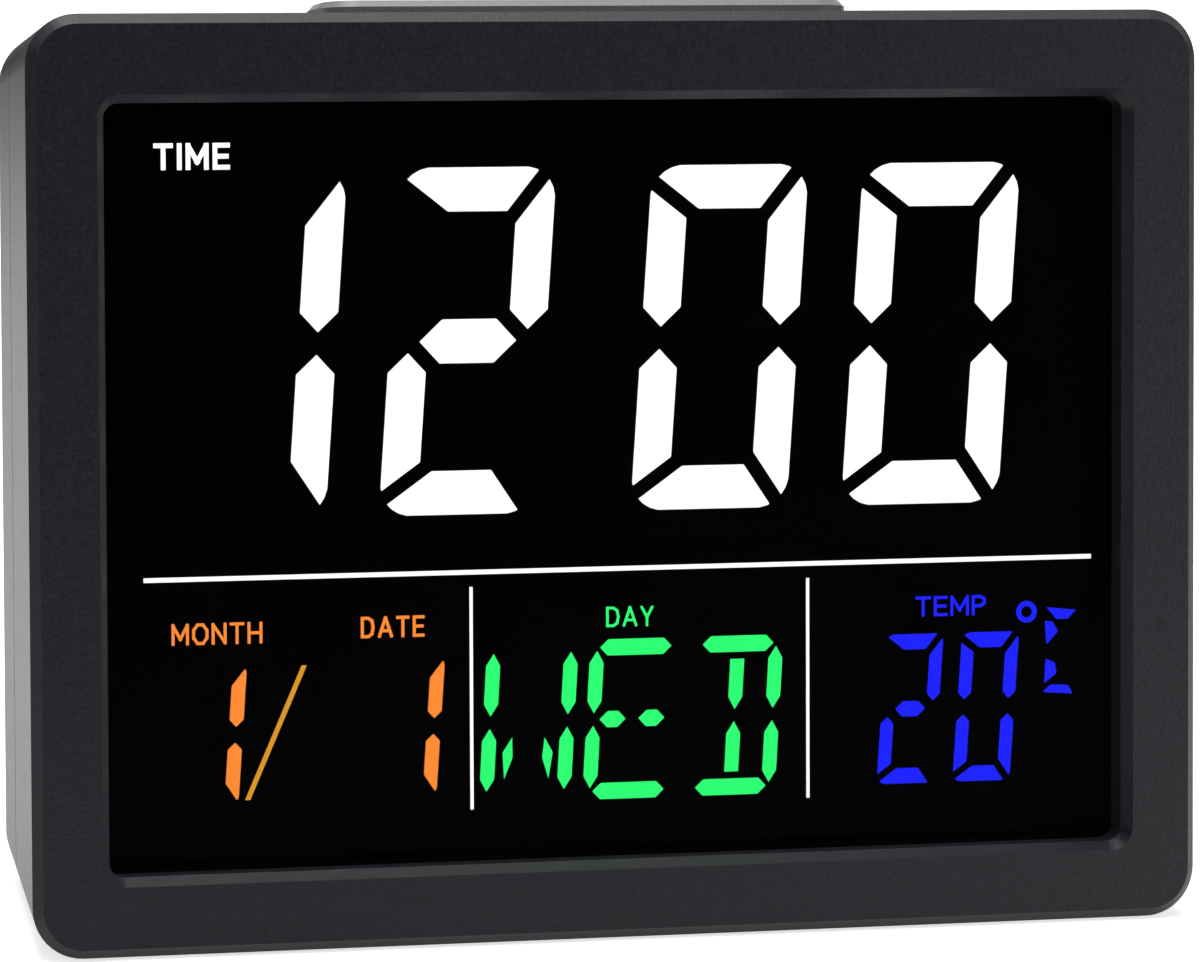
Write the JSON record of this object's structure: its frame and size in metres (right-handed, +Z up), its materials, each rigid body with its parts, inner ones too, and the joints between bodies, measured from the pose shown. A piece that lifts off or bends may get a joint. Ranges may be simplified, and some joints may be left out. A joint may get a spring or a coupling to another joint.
{
  "type": "day clock",
  "caption": "Table clock that shows time, day, date, month and temperature on one lit display; it leans back and has a long snooze bar on top.",
  "frame": {"origin": "Centre of the box around the clock, on the table plane under it; the sloping base lies on z = 0.", "axes": "+X to the right seen from the front, -Y towards the viewer, +Z up. The display leans back by 7.7 degrees, so its top is further from the viewer."},
  "size_m": [0.1458, 0.054, 0.1107],
  "materials": {
    "case_plastic": "fine spark texture, satin",
    "bar_plastic": "smooth satin",
    "key_plastic": "smooth satin",
    "window_clear": "clear, low reflection",
    "cell_glass": "polished",
    "colour_film": "printed colour zones",
    "light_guide": "clear, etched dots",
    "reflector": "white",
    "circuit_board": "solder mask",
    "lamp": "resin",
    "zebra_rubber": "layered",
    "tray_plastic": "moulded",
    "switch_plastic": "moulded",
    "plunger_plastic": "moulded",
    "chip_resin": "moulded resin",
    "crystal_can": "drawn can",
    "sensor_resin": "moulded",
    "buzzer_case": "moulded",
    "ribbon": "vinyl",
    "socket_steel": "stamped",
    "cell_jacket": "printed sleeve, plain",
    "contact_nickel": "nickel plate",
    "screw_zinc": "zinc plate"
  },
  "bodies": {
    "case": {"backlight_board": "circuit_board", "backlight_lamps": "lamp", "battery_cells": "cell_jacket", "board_screws": "screw_zinc", "buzzer": "buzzer_case", "case_screws": "screw_zinc", "colour_film": "colour_film", "contact_leaves": "contact_nickel", "contact_plates": "contact_nickel", "controller_chip": "chip_resin", "display_tray": "tray_plastic", "display_window": "window_clear", "front_glass": "cell_glass", "front_shell": "case_plastic", "key_board": "circuit_board", "key_switches": "switch_plastic", "light_guide": "light_guide", "main_board": "circuit_board", "peg_screws": "screw_zinc", "power_board": "circuit_board", "power_socket": "socket_steel", "quartz_crystal": "crystal_can", "rear_glass": "cell_glass", "rear_shell": "case_plastic", "reflector": "reflector", "ribbon_cable": "ribbon", "snooze_board": "circuit_board", "snooze_switch": "switch_plastic", "temperature_sensor": "sensor_resin", "tray_screws": "screw_zinc", "zebra_strip": "zebra_rubber"},
    "snooze_bar": {"snooze_bar": "bar_plastic", "plunger_snooze": "plunger_plastic"},
    "battery_door": {"battery_door": "case_plastic"},
    "key_mode": {"key_mode": "key_plastic", "plunger_mode": "plunger_plastic"},
    "key_set": {"key_set": "key_plastic", "plunger_set": "plunger_plastic"},
    "key_up": {"key_up": "key_plastic", "plunger_up": "plunger_plastic"},
    "key_down": {"key_down": "key_plastic", "plunger_down": "plunger_plastic"},
    "key_alarm": {"key_alarm": "key_plastic", "plunger_alarm": "plunger_plastic"}
  },
  "joints": [
    {"name": "snooze_press", "type": "slide", "parent": "case", "child": "snooze_bar", "axis": [0, -0.1338, -0.991], "range_m": [0, 0.001], "stiffness_N_per_m": 2000, "springref_m": -0.001},
    {"name": "mode_press", "type": "slide", "parent": "case", "child": "key_mode", "axis": [0, -0.991, 0.1338], "range_m": [0, 0.0006], "stiffness_N_per_m": 1500, "springref_m": -0.0008},
    {"name": "set_press", "type": "slide", "parent": "case", "child": "key_set", "axis": [0, -0.991, 0.1338], "range_m": [0, 0.0006], "stiffness_N_per_m": 1500, "springref_m": -0.0008},
    {"name": "up_press", "type": "slide", "parent": "case", "child": "key_up", "axis": [0, -0.991, 0.1338], "range_m": [0, 0.0006], "stiffness_N_per_m": 1500, "springref_m": -0.0008},
    {"name": "down_press", "type": "slide", "parent": "case", "child": "key_down", "axis": [0, -0.991, 0.1338], "range_m": [0, 0.0006], "stiffness_N_per_m": 1500, "springref_m": -0.0008},
    {"name": "alarm_press", "type": "slide", "parent": "case", "child": "key_alarm", "axis": [0, -0.991, 0.1338], "range_m": [0, 0.0006], "stiffness_N_per_m": 1500, "springref_m": -0.0008},
    {"name": "door_pull", "type": "slide", "parent": "case", "child": "battery_door", "axis": [0, 0.991, -0.1338], "range_m": [0, 0.015]}
  ]
}
